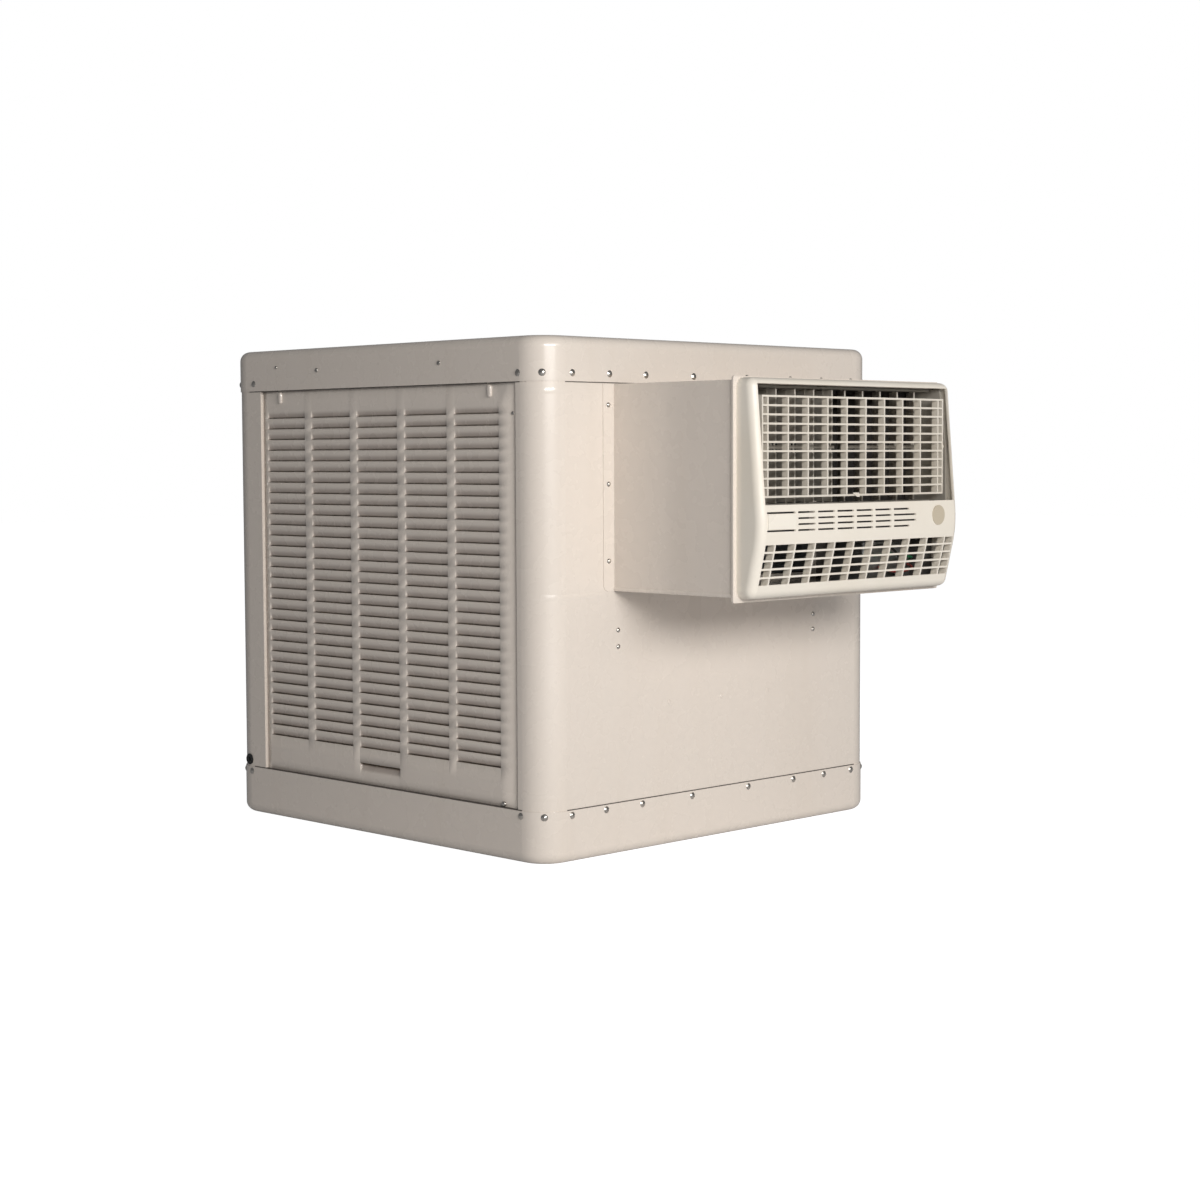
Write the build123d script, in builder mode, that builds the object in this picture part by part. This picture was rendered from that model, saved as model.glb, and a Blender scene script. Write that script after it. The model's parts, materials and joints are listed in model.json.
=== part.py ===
from build123d import *
import os
from math import asin, cos, degrees, radians, sin

# Window-mounted evaporative cooler, millimetres, +Z up.
# Origin: centre of the bottom pan's underside. The discharge duct points to -Y, and
# the wet pads are in the -X, +X and +Y sides.

# ---- cabinet ----
cabinet_width = 711.0
cabinet_depth = 715.0
cabinet_height = 720.0
pan_height = 73.0
lid_height = 62.0
corner_radius = 45.0
edge_radius = 15.0
sheet = 1.2
wall_inset = 1.5
wall_tuck = 24.0
panel_front_edge = -304.0
panel_rear_edge = 277.0
jamb_depth = 18.0

# ---- louvred pad panels ----
panel_gap = 1.5
panel_recess = 4.0
panel_bottom = 62.0
panel_top = 688.0
panel_return = 14.0
louvre_rows = 31
louvre_columns = 5
louvre_pitch = 16.28
louvre_top_row = 627.0
louvre_length = 94.0
louvre_column_pitch = 109.2
louvre_height = 11.6
louvre_drop = 9.2
louvre_depth = 6.0
pull_width = 88.0
pull_height = 14.0
pull_centre = 96.0
pad_thickness = 32.0
pad_bottom = 84.0
pad_top = 634.0
pad_side_clearance = 4.0
pad_face_clearance = 7.0

# ---- discharge duct and window flange ----
duct_half_width = 219.0
duct_bottom = 370.0
duct_top = 656.0
duct_front = -577.0
duct_tab_width = 20.5
outlet_half_width = 202.0
outlet_bottom = 380.0
outlet_top = 650.0
flange_half_width = 221.5
flange_bottom = 363.0
flange_top = 661.0
flange_thickness = 3.0

# ---- discharge grille ----
bezel_half_width = 215.0
bezel_bottom = 368.0
bezel_top = 659.0
bezel_wall = 3.0
bezel_side_radius = 12.0
bezel_lower_nose = -604.0
bezel_nose = -625.0
bezel_nose_height = 455.0
bezel_upper_nose = -607.0
opening_half_width = 205.0
opening_bottom = 492.0
opening_top = 651.0
grid_columns = 10
grid_bar = 2.6
lower_grid_bottom = 385.0
lower_grid_top = 441.0
lower_grid_rows = 5
band_middle = 466.5
cassette_half_width = 196.5
cassette_bottom = 501.0
cassette_top = 636.0
cassette_front = -608.0
cassette_depth = 10.0
cassette_rows = 11
cassette_pin_y = -600.0
cassette_pin_radius = 3.0
slot_length = 35.0
slot_height = 2.4
slot_pitch = 41.0
slot_row_pitch = 7.9
slot_rise = 3.4
long_slot_x = -174.5
long_slot_length = 57.0
end_slot_x = 91.6
end_slot_length = 46.0
label_start = -202.0
label_end = -147.0
label_below = 6.4
label_above = 13.2
label_depth = 0.8
film_thickness = 1.2
badge_x = 166.0
badge_rise = 5.0
badge_radius = 14.0
vane_count = 10
vane_chord = 38.0
vane_thickness = 2.2
vane_axis_y = -565.0
vane_bottom = 493.5
vane_top = 645.5
vane_pin_radius = 1.6
vane_angle_left = 10.0
vane_angle_right = 36.0
link_radius = 15.0
link_pin_radius = 1.1
link_lug = 3.0
notch_half = 8.0
notch_root = 8.5
link_height = 568.0
rail_thickness = 3.0
side_rail_thickness = 7.0
running_clearance = 0.05

# ---- controls ----
box_left = 95.0
box_right = 205.0
box_front = -545.0
box_back = -480.0
box_top = 432.0
gland_x = 150.0
gland_y = -450.0
gland_radius = 13.0
gland_neck_radius = 8.0
gland_bore_radius = 4.5

# ---- blower ----
wheel_y = 40.0
wheel_z = 400.0
wheel_radius = 150.0
wheel_half_width = 184.0
blade_count = 36
blade_depth = 24.0
scroll_half_width = 200.0
scroll_radius = 175.0
scroll_step = 25.0
cutoff_lip = 6.0
inlet_radius = 128.0
shaft_radius = 9.5
shaft_start = -232.0
shaft_length = 500.0
pulley_x = 251.0
pulley_radius = 108.0
bearing_x = 216.0
bearing_length = 24.0

# ---- motor ----
motor_y = -250.0
motor_z = 218.0
motor_radius = 68.0
motor_start = 22.0
motor_end = 188.0
motor_shaft_radius = 6.35
motor_edge_radius = 12.0
end_bell = 6.0
stator = 14.0
rotor_inset = 30.0
rotor_radius = 42.0
motor_pulley_radius = 36.0
belt_thickness = 7.0
belt_width = 9.0
shelf_height = 300.0

# ---- water ----
pump_x = 225.0
pump_y = 205.0
pump_shaft_radius = 3.0
pump_bore = 3.05
pump_motor_radius = 33.0
pump_motor_height = 62.0
pump_motor_edge = 9.0
impeller_bottom = 16.0
impeller_radius = 18.0
impeller_disc = 2.0
impeller_vanes = 6
impeller_vane_height = 7.0
tube_radius = 6.5
tube_wall = 2.0
riser_y = 250.0
spray_height = 694.0
drain_x = 210.0
drain_y = -215.0
valve_y = 318.0
valve_z = 84.0
inlet_hole_radius = 6.0
grommet_length = 6.5
valve_body_radius = 9.0
nozzle_radius = 4.0
valve_half_height = 7.0
fork_length = 16.0
pivot_radius = 2.0
arm_radius = 1.9
inlet_bore_radius = 3.3
inlet_bore_end = -330.0
pipe_radius = 9.42
pipe_bore_radius = 9.5
pipe_inner_radius = 7.4
pipe_length = 56.0
pipe_collar_radius = 13.0
pipe_collar = 3.0
bushing_radius = 18.0
bushing_flange = 3.0

half_width = cabinet_width / 2
half_depth = cabinet_depth / 2
wall_front = -half_depth + wall_inset
wall_side = half_width - wall_inset
wall_rear = half_depth - wall_inset
wall_bottom = pan_height - wall_tuck
wall_top = cabinet_height - lid_height + wall_tuck


def save(piece, name):
    """Label a finished piece and write it as its own STEP file."""
    piece.part.label = name
    export_step(piece.part, f"parts/{name}.step")


def beam(low, high, mode=Mode.ADD):
    """A box between two corners, for use inside a part block."""
    size = [b - a for a, b in zip(low, high)]
    with Locations([tuple((a + b) / 2 for a, b in zip(low, high))]):
        Box(*size, mode=mode)


def rod(start, direction, radius, length, mode=Mode.ADD):
    """A cylinder that starts at a point and runs along a direction."""
    with Locations([Plane(origin=start, z_dir=direction)]):
        Cylinder(radius, length, align=(Align.CENTER, Align.CENTER, Align.MIN), mode=mode)


# ======== cabinet ========

# Deep water pan with a rounded lower edge and a raised seat for the drain.
drain_seat_height = 14.0
drain_seat_radius = 32.0
drain_bore = 12.0
with BuildPart() as bottom_pan:
    with BuildSketch():
        RectangleRounded(cabinet_width, cabinet_depth, corner_radius)
    extrude(amount=pan_height)
    fillet(bottom_pan.edges().group_by(Axis.Z)[0], edge_radius)
    offset(amount=-sheet, openings=bottom_pan.faces().sort_by(Axis.Z)[-1])
    rod((drain_x, drain_y, 0), (0, 0, 1), drain_seat_radius, drain_seat_height)
    rod((drain_x, drain_y, 0), (0, 0, 1), drain_seat_radius - sheet,
        drain_seat_height - sheet, mode=Mode.SUBTRACT)
    rod((drain_x, drain_y, 0), (0, 0, 1), drain_bore, drain_seat_height, mode=Mode.SUBTRACT)
save(bottom_pan, "bottom_pan")

# Top pan: the same tray upside down.
with BuildPart() as top_pan:
    with BuildSketch(Plane.XY.offset(cabinet_height - lid_height)):
        RectangleRounded(cabinet_width, cabinet_depth, corner_radius)
    extrude(amount=lid_height)
    fillet(top_pan.edges().group_by(Axis.Z)[-1], edge_radius)
    offset(amount=-sheet, openings=top_pan.faces().sort_by(Axis.Z)[0])
save(top_pan, "top_pan")


def wall_ring():
    """Plan of the cabinet wall, all the way round."""
    RectangleRounded(cabinet_width - 2 * wall_inset, cabinet_depth - 2 * wall_inset,
                     corner_radius - wall_inset)
    RectangleRounded(cabinet_width - 2 * (wall_inset + sheet),
                     cabinet_depth - 2 * (wall_inset + sheet),
                     corner_radius - wall_inset - sheet, mode=Mode.SUBTRACT)


def plan_rectangle(x_low, x_high, y_low, y_high, mode=Mode.ADD):
    """A rectangle between two pairs of limits, for use inside a sketch."""
    with Locations([((x_low + x_high) / 2, (y_low + y_high) / 2)]):
        Rectangle(x_high - x_low, y_high - y_low, mode=mode)


# Front wall: one sheet that wraps both front corners, with the outlet cut in it.
wall_height = wall_top - wall_bottom
with BuildPart() as front_wall:
    with BuildSketch(Plane.XY.offset(wall_bottom)):
        wall_ring()
        plan_rectangle(-half_width, half_width, -half_depth, panel_front_edge,
                       mode=Mode.INTERSECT)
        for side in (-1, 1):
            edges = sorted((side * wall_side, side * (wall_side - jamb_depth)))
            plan_rectangle(*edges, panel_front_edge - sheet, panel_front_edge)
    extrude(amount=wall_height)
    beam((-outlet_half_width, wall_front - 5, outlet_bottom),
         (outlet_half_width, wall_front + 5, outlet_top), mode=Mode.SUBTRACT)
save(front_wall, "front_wall")


def rear_post(side):
    """Corner post between a side panel and the rear panel."""
    with BuildPart() as post:
        with BuildSketch(Plane.XY.offset(wall_bottom)):
            wall_ring()
            outer = sorted((side * panel_rear_edge, side * half_width))
            plan_rectangle(*outer, panel_rear_edge, half_depth, mode=Mode.INTERSECT)
            side_jamb = sorted((side * wall_side, side * (wall_side - jamb_depth)))
            plan_rectangle(*side_jamb, panel_rear_edge, panel_rear_edge + sheet)
            rear_jamb = sorted((side * panel_rear_edge, side * (panel_rear_edge + sheet)))
            plan_rectangle(*rear_jamb, wall_rear - jamb_depth, wall_rear)
        extrude(amount=wall_height)
        if side < 0:
            rod((-half_width, valve_y, valve_z), (1, 0, 0), inlet_hole_radius, 10,
                mode=Mode.SUBTRACT)
    return post


save(rear_post(-1), "rear_post_left")
save(rear_post(1), "rear_post_right")


# ======== louvred panels and pads ========

def louvre_panel(low, high):
    """Pressed panel in the XZ plane, outer face on y = 0 and inside towards +Y.

    low and high are its side edges. Each louvre is a slot with a scoop that slopes
    inwards from the slot's upper edge and leaves a gap above its lower edge.
    """
    field_middle = louvre_top_row - (louvre_rows - 1) * louvre_pitch / 2
    with BuildPart() as panel:
        beam((low, 0, panel_bottom), (high, panel_return, panel_top))
        beam((low + sheet, sheet, panel_bottom + sheet),
             (high - sheet, panel_return + 1, panel_top - sheet), mode=Mode.SUBTRACT)
        with BuildSketch(Plane.XZ):
            with Locations([(0, field_middle - louvre_height / 2)]):
                with GridLocations(louvre_column_pitch, louvre_pitch, louvre_columns,
                                   louvre_rows):
                    Rectangle(louvre_length, louvre_height)
            with Locations([(0, pull_centre)]):
                SlotOverall(pull_width, pull_height)
        extrude(amount=-2 * sheet, mode=Mode.SUBTRACT)
        for column in range(louvre_columns):
            centre = (column - (louvre_columns - 1) / 2) * louvre_column_pitch
            left = centre - louvre_length / 2
            with BuildSketch(Plane.YZ.offset(left)):
                for row in range(louvre_rows):
                    top = louvre_top_row - row * louvre_pitch
                    with BuildLine():
                        Polyline((0, top + 0.5), (0, top - 0.9),
                                 (louvre_depth, top - louvre_drop - 0.9),
                                 (louvre_depth, top - louvre_drop + 0.5),
                                 (sheet, top + 0.5), close=True)
                    make_face()
            extrude(amount=louvre_length)
    return panel


side_low = panel_front_edge + panel_gap
side_high = panel_rear_edge - panel_gap
rear_limit = panel_rear_edge - panel_gap
panel_plane = wall_side - panel_recess
rear_plane = wall_rear - panel_recess

side_panel = louvre_panel(-side_high, -side_low)
rear_panel = louvre_panel(-rear_limit, rear_limit)
louvre_panel_left = side_panel.part.rotate(Axis.Z, -90).translate((-panel_plane, 0, 0))
louvre_panel_right = mirror(louvre_panel_left, about=Plane.YZ)
louvre_panel_rear = rear_panel.part.rotate(Axis.Z, 180).translate((0, rear_plane, 0))
for piece, name in ((louvre_panel_left, "louvre_panel_left"),
                    (louvre_panel_right, "louvre_panel_right"),
                    (louvre_panel_rear, "louvre_panel_rear")):
    piece.label = name
    export_step(piece, f"parts/{name}.step")

pad_outer = panel_plane - sheet - pad_face_clearance
pad_rear_outer = rear_plane - sheet - pad_face_clearance
for side, name in ((-1, "pad_left"), (1, "pad_right")):
    with BuildPart() as side_pad:
        depth_limits = sorted((side * pad_outer, side * (pad_outer - pad_thickness)))
        beam((depth_limits[0], side_low + pad_side_clearance, pad_bottom),
             (depth_limits[1], side_high - pad_side_clearance, pad_top))
    save(side_pad, name)
with BuildPart() as pad_rear:
    beam((-rear_limit + pad_side_clearance, pad_rear_outer - pad_thickness, pad_bottom),
         (rear_limit - pad_side_clearance, pad_rear_outer, pad_top))
save(pad_rear, "pad_rear")


# ======== duct, window flange and fasteners ========

with BuildPart() as discharge_duct:
    duct_middle = (duct_bottom + duct_top) / 2
    with BuildSketch(Plane.XZ.offset(-wall_front)):
        with Locations([(0, duct_middle)]):
            Rectangle(2 * duct_half_width, duct_top - duct_bottom)
            Rectangle(2 * (duct_half_width - sheet), duct_top - duct_bottom - 2 * sheet,
                      mode=Mode.SUBTRACT)
    extrude(amount=wall_front - duct_front)
    with BuildSketch(Plane.XZ.offset(-wall_front)):
        for side in (-1, 1):
            with Locations([(side * (duct_half_width + duct_tab_width / 2 - sheet / 2),
                             duct_middle)]):
                Rectangle(duct_tab_width + sheet, duct_top - duct_bottom)
    extrude(amount=sheet)
    tab_corners = discharge_duct.edges().filter_by(Axis.Y).group_by(Axis.Z)[0]
    fillet(tab_corners.filter_by(lambda e: abs(e.center().X) > duct_half_width + 1), 9.0)
save(discharge_duct, "discharge_duct")

with BuildPart() as window_flange:
    with BuildSketch(Plane.XZ.offset(-duct_front)):
        with Locations([(0, (flange_bottom + flange_top) / 2)]):
            RectangleRounded(2 * flange_half_width, flange_top - flange_bottom, 3.0)
        with Locations([(0, (duct_bottom + duct_top) / 2)]):
            Rectangle(2 * duct_half_width - 12, duct_top - duct_bottom - 10,
                      mode=Mode.SUBTRACT)
    extrude(amount=flange_thickness)
save(window_flange, "window_flange")

# Dome-head rivets: large ones along the pans and small ones on the walls.
pan_rivet_radius = 5.0
wall_rivet_radius = 3.6
rivet_head_height = 2.2
rivet_shank_radius = 1.8
rivet_shank = 3.6


def rivet(head_radius):
    """Rivet along Z with its head's flat side on z = 0."""
    dome_radius = (head_radius ** 2 + rivet_head_height ** 2) / (2 * rivet_head_height)
    dome_turn = degrees(asin(head_radius / dome_radius))
    with BuildPart() as fastener:
        with BuildSketch(Plane.XZ):
            with BuildLine():
                Polyline((0, rivet_head_height), (0, -rivet_shank),
                         (rivet_shank_radius, -rivet_shank), (rivet_shank_radius, 0),
                         (head_radius, 0))
                CenterArc((0, rivet_head_height - dome_radius), dome_radius,
                          90 - dome_turn, dome_turn)
            make_face()
        revolve(axis=Axis.Z)
    return fastener.part


pan_rivet_height = 66.0
lid_rivet_height = 669.5
pan_rivet_spots = (-302, -236, -164, -61, 61, 164, 236, 302)
lid_rivet_spots = (-298, -227, -155, -57, 57, 155, 227, 298)
pan_side_spots = (-311, 311)
lid_side_spots = (-310, 293)
duct_rivet_heights = (627, 518, 412)
wall_rivet_heights = (315, 292)
wall_rivet_spread = 210.5
corner_inset = corner_radius * (1 - cos(radians(45)))


def face_plane(x, y, z, across, along):
    """Plane on a wall with its normal pointing out along (across, along)."""
    return Plane(origin=(x, y, z), z_dir=(across, along, 0))


pan_planes = []
wall_planes = []
for height, spots, ends in ((pan_rivet_height, pan_rivet_spots, pan_side_spots),
                            (lid_rivet_height, lid_rivet_spots, lid_side_spots)):
    for spot in spots:
        pan_planes.append(face_plane(spot, -half_depth, height, 0, -1))
        pan_planes.append(face_plane(spot, half_depth, height, 0, 1))
    for side in (-1, 1):
        for spot in ends:
            pan_planes.append(face_plane(side * half_width, spot, height, side, 0))
        for end in (-1, 1):
            pan_planes.append(face_plane(side * (half_width - corner_inset),
                                         end * (half_depth - corner_inset),
                                         height, side, end))
for side in (-1, 1):
    for height in duct_rivet_heights:
        wall_planes.append(face_plane(side * (duct_half_width + duct_tab_width / 2),
                                      wall_front - sheet, height, 0, -1))
    for height in wall_rivet_heights:
        wall_planes.append(face_plane(side * wall_rivet_spread, wall_front, height, 0, -1))
pan_rivet = rivet(pan_rivet_radius)
wall_rivet = rivet(wall_rivet_radius)
with BuildPart() as rivets:
    with Locations(*pan_planes):
        add(pan_rivet)
    with Locations(*wall_planes):
        add(wall_rivet)
save(rivets, "rivets")


# ======== discharge grille ========

def grid_openings(half_width, column_pitch, row_pitch, rows):
    """Cells of a grid with a whole cell on its middle line and a narrower one at each end."""
    whole = grid_columns - 1
    inner = whole * column_pitch / 2 + grid_bar / 2
    with GridLocations(column_pitch, row_pitch, whole, rows):
        Rectangle(column_pitch - grid_bar, row_pitch - grid_bar)
    with GridLocations(inner + half_width, row_pitch, 2, rows):
        Rectangle(half_width - inner, row_pitch - grid_bar)


with BuildPart() as grille_bezel:
    base = duct_front - flange_thickness
    with BuildSketch(Plane.YZ):
        with BuildLine():
            FilletPolyline((base, bezel_bottom), (bezel_lower_nose, bezel_bottom),
                           (bezel_nose, bezel_nose_height), (bezel_upper_nose, bezel_top),
                           (base, bezel_top), radius=[13.0, 160.0, 13.0])
            Line((base, bezel_top), (base, bezel_bottom))
        make_face()
    extrude(amount=bezel_half_width, both=True)
    side_faces = grille_bezel.faces().filter_by(Axis.X)
    rim_edges = side_faces.edges().filter_by(lambda e: e.center().Y < base - 1)
    fillet(rim_edges, bezel_side_radius)
    offset(amount=-bezel_wall, openings=grille_bezel.faces().sort_by(Axis.Y)[-1])
    beam((-opening_half_width, -640, opening_bottom), (opening_half_width, base - 1, opening_top),
         mode=Mode.SUBTRACT)
    cell_height = (lower_grid_top - lower_grid_bottom) / lower_grid_rows
    with BuildSketch(Plane.XZ.offset(-base)):
        with Locations([(0, (lower_grid_bottom + lower_grid_top) / 2)]):
            grid_openings(opening_half_width - grid_bar / 2, slot_pitch, cell_height,
                          lower_grid_rows)
        for row in (-1.5, -0.5, 0.5, 1.5):
            level = band_middle + slot_rise + row * slot_row_pitch
            with Locations([(column * slot_pitch, level) for column in range(-3, 3)]):
                Rectangle(slot_length, slot_height)
            outer_row = abs(row) > 1
            with Locations([(long_slot_x if outer_row else end_slot_x, level)]):
                Rectangle(long_slot_length if outer_row else end_slot_length, slot_height)
    extrude(amount=60, mode=Mode.SUBTRACT)
save(grille_bezel, "grille_bezel")

with BuildPart() as label_plate:
    beam((label_start, bezel_nose + label_depth, band_middle - label_below),
         (label_end, bezel_nose + label_depth + film_thickness, band_middle + label_above))
save(label_plate, "label_plate")

with BuildPart() as badge:
    with BuildSketch(Plane.XZ.offset(-bezel_nose - label_depth)):
        with Locations([(badge_x, band_middle + badge_rise)]):
            Circle(badge_radius)
    extrude(amount=-film_thickness)
save(badge, "badge")

# Tilting louvre cassette: a frame crossed by flat louvres and upright bars.
cassette_height = cassette_top - cassette_bottom
cassette_middle = (cassette_top + cassette_bottom) / 2
cassette_pitch = (cassette_height - grid_bar) / cassette_rows
column_pitch = (2 * cassette_half_width - grid_bar) / grid_columns
with BuildPart() as louvre_cassette:
    beam((-cassette_half_width, cassette_front, cassette_bottom),
         (cassette_half_width, cassette_front + cassette_depth, cassette_top))
    with BuildSketch(Plane.XZ.offset(-cassette_front)):
        with Locations([(0, cassette_middle)]):
            grid_openings(cassette_half_width - grid_bar, slot_pitch, cassette_pitch,
                          cassette_rows)
    extrude(amount=-cassette_depth, mode=Mode.SUBTRACT)
    for side in (-1, 1):
        rod((side * (cassette_half_width - 1), cassette_pin_y, cassette_middle), (side, 0, 0),
            cassette_pin_radius, opening_half_width - cassette_half_width + 3)
save(louvre_cassette, "louvre_cassette")

# Carrier behind the bezel: it holds the cassette's pins and the vanes' pins.
vane_spots = [(index - (vane_count - 1) / 2) * column_pitch for index in range(vane_count)]
carrier_back = -545.0
carrier_front = -606.0
carrier_chamfer = 4.0
with BuildPart() as vane_carrier:
    with BuildSketch(Plane.YZ.offset(-opening_half_width - side_rail_thickness)):
        with BuildLine():
            Polyline((carrier_back, vane_bottom - 4.5), (carrier_front, vane_bottom - 4.5),
                     (carrier_front, cassette_middle), (carrier_front + 12, vane_top + 4.5),
                     (carrier_back, vane_top + 4.5), close=True)
        make_face()
    extrude(amount=side_rail_thickness)
    outer_side = vane_carrier.faces().sort_by(Axis.X)[0]
    rim_edges = outer_side.edges().filter_by(
        lambda e: e.center().Y < carrier_front + 10 or e.center().Z > vane_top)
    chamfer(rim_edges, carrier_chamfer)
    mirror(about=Plane.YZ)
    for low in (vane_bottom - 4.5, vane_top + 4.5 - rail_thickness):
        beam((-opening_half_width, vane_axis_y - 12, low),
             (opening_half_width, vane_axis_y + 12, low + rail_thickness))
    with Locations([(x, vane_axis_y, 0) for x in vane_spots]):
        Cylinder(vane_pin_radius + running_clearance, 2 * cabinet_height, mode=Mode.SUBTRACT)
    rod((-opening_half_width - rail_thickness - 1, cassette_pin_y, cassette_middle), (1, 0, 0),
        cassette_pin_radius + running_clearance, 2 * (opening_half_width + rail_thickness + 1),
        mode=Mode.SUBTRACT)
save(vane_carrier, "vane_carrier")


def vane(x, angle):
    """Upright vane with a pin at each end and a link pin in a notch at its front edge."""
    with BuildPart() as blade:
        with BuildSketch(Plane.XY.offset(vane_bottom)):
            SlotOverall(vane_chord, vane_thickness, rotation=90)
        extrude(amount=vane_top - vane_bottom)
        beam((-vane_thickness, -vane_chord, link_height - notch_half),
             (vane_thickness, -notch_root, link_height + notch_half), mode=Mode.SUBTRACT)
        for low in (-notch_half, notch_half - link_lug):
            beam((-vane_thickness / 2, -link_radius - 2, link_height + low),
                 (vane_thickness / 2, -link_radius + 2, link_height + low + link_lug))
        with Locations([(0, -link_radius, link_height)]):
            Cylinder(link_pin_radius, 2 * notch_half)
        with Locations([(0, 0, (vane_bottom + vane_top) / 2)]):
            Cylinder(vane_pin_radius, vane_top - vane_bottom + 8)
    turned = blade.part.rotate(Axis.Z, -angle)
    return turned.translate((x, vane_axis_y, 0))


for number, x in enumerate(vane_spots, start=1):
    angle = vane_angle_left if number <= vane_count // 2 else vane_angle_right
    piece = vane(x, angle)
    piece.label = f"vane_{number:02d}"
    export_step(piece, f"parts/vane_{number:02d}.step")


def vane_link(spots, angle):
    """Tie bar that joins the link pins of one bank of vanes."""
    pin_x = -link_radius * sin(radians(angle))
    pin_y = vane_axis_y - link_radius * cos(radians(angle))
    with BuildPart() as bar:
        beam((spots[0] + pin_x - 5, pin_y - 3, link_height - 2),
             (spots[-1] + pin_x + 5, pin_y + 3, link_height + 2))
        with Locations([(x + pin_x, pin_y, link_height) for x in spots]):
            Cylinder(link_pin_radius + running_clearance, notch_half, mode=Mode.SUBTRACT)
    return bar


save(vane_link(vane_spots[:vane_count // 2], vane_angle_left), "vane_link_left")
save(vane_link(vane_spots[vane_count // 2:], vane_angle_right), "vane_link_right")

with BuildPart() as control_box:
    beam((box_left, box_front, duct_bottom + sheet), (box_right, box_back, box_top))
    fillet(control_box.edges().filter_by(Axis.Z), 5.0)
save(control_box, "control_box")

with BuildPart() as cord_gland:
    with Locations([(gland_x, gland_y, duct_bottom)]):
        Cylinder(gland_radius, 5, align=(Align.CENTER, Align.CENTER, Align.MAX))
        Cylinder(gland_neck_radius, 6, align=(Align.CENTER, Align.CENTER, Align.MIN))
        Cylinder(gland_bore_radius, 30, mode=Mode.SUBTRACT)
save(cord_gland, "cord_gland")


# ======== blower ========

def volute(inset):
    """Outline of the scroll: three widening quarter turns and a straight outlet."""
    outlet_end = wall_front - 10
    top = wheel_z + scroll_radius + 3 * scroll_step - inset
    with BuildSketch() as outline:
        with BuildLine():
            Polyline((wheel_y - scroll_step, top), (outlet_end, top),
                     (outlet_end, outlet_bottom + inset),
                     (wheel_y - scroll_radius + inset, wheel_z + cutoff_lip + inset),
                     (wheel_y - scroll_radius + inset, wheel_z))
            CenterArc((wheel_y, wheel_z), scroll_radius - inset, 180, 90)
            CenterArc((wheel_y, wheel_z + scroll_step),
                      scroll_radius + scroll_step - inset, 270, 90)
            CenterArc((wheel_y - scroll_step, wheel_z + scroll_step),
                      scroll_radius + 2 * scroll_step - inset, 0, 90)
        make_face()
    return outline.sketch


wall_inner = wall_front + sheet
with BuildPart() as scroll_wrap:
    with BuildSketch(Plane.YZ):
        add(volute(0))
        add(volute(sheet), mode=Mode.SUBTRACT)
        plan_rectangle(-half_depth - 20, wall_inner, 0, cabinet_height, mode=Mode.SUBTRACT)
    extrude(amount=scroll_half_width, both=True)
save(scroll_wrap, "scroll_wrap")

for side, name in ((-1, "scroll_side_left"), (1, "scroll_side_right")):
    near = scroll_half_width if side > 0 else -scroll_half_width - sheet
    with BuildPart() as scroll_side:
        with BuildSketch(Plane.YZ.offset(near)):
            add(volute(0))
            plan_rectangle(-half_depth - 20, wall_inner, 0, cabinet_height, mode=Mode.SUBTRACT)
            with Locations([(wheel_y, wheel_z)]):
                Circle(inlet_radius, mode=Mode.SUBTRACT)
        extrude(amount=sheet)
    save(scroll_side, name)

# Three-armed brackets carry the shaft bearings across the inlets.
bracket_plane = scroll_half_width + sheet
bracket_thickness = 3.0
bearing_radius = 15.0
for side, name in ((-1, "bearing_bracket_left"), (1, "bearing_bracket_right")):
    with BuildPart() as bracket:
        with BuildSketch(Plane.YZ.offset(bracket_plane)):
            with Locations([(wheel_y, wheel_z)]):
                Circle(bearing_radius + 6)
                with PolarLocations((inlet_radius + 18) / 2, 3, start_angle=90):
                    Rectangle(inlet_radius + 18, 18)
        extrude(amount=bracket_thickness)
        rod((bracket_plane, wheel_y, wheel_z), (1, 0, 0), bearing_radius + 6, 20)
        rod((bracket_plane, wheel_y, wheel_z), (1, 0, 0), bearing_radius, 30, mode=Mode.SUBTRACT)
    placed = bracket.part if side > 0 else mirror(bracket.part, about=Plane.YZ)
    placed.label = name
    export_step(placed, f"parts/{name}.step")

with BuildPart() as shaft_bearings:
    for side in (-1, 1):
        rod((side * bracket_plane, wheel_y, wheel_z), (side, 0, 0), bearing_radius,
            bearing_length)
    rod((-half_width, wheel_y, wheel_z), (1, 0, 0), shaft_radius + running_clearance,
        cabinet_width, mode=Mode.SUBTRACT)
save(shaft_bearings, "shaft_bearings")

hub_radius = 26.0
hub_half = 30.0
blade_thickness = 1.6
blade_lean = 32.0
end_ring = 3.0
with BuildPart() as blower_wheel:
    with BuildSketch(Plane.YZ.offset(-wheel_half_width)):
        with PolarLocations(wheel_radius - blade_depth / 2 - 1, blade_count):
            Rectangle(blade_depth, blade_thickness, rotation=-blade_lean)
    extrude(amount=2 * wheel_half_width)
    for low in (-wheel_half_width, wheel_half_width - end_ring):
        with BuildSketch(Plane.YZ.offset(low)):
            Circle(wheel_radius)
            Circle(wheel_radius - blade_depth, mode=Mode.SUBTRACT)
        extrude(amount=end_ring)
    rod((-sheet, 0, 0), (1, 0, 0), wheel_radius, 2 * sheet)
    rod((-hub_half, 0, 0), (1, 0, 0), hub_radius, 2 * hub_half)
    rod((-hub_half - 1, 0, 0), (1, 0, 0), shaft_radius, 2 * hub_half + 2, mode=Mode.SUBTRACT)
placed_wheel = blower_wheel.part.translate((0, wheel_y, wheel_z))
placed_wheel.label = "blower_wheel"
export_step(placed_wheel, "parts/blower_wheel.step")

with BuildPart() as blower_shaft:
    rod((shaft_start, wheel_y, wheel_z), (1, 0, 0), shaft_radius, shaft_length)
    chamfer(blower_shaft.edges().filter_by(GeomType.CIRCLE), 1.0)
save(blower_shaft, "blower_shaft")


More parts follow.
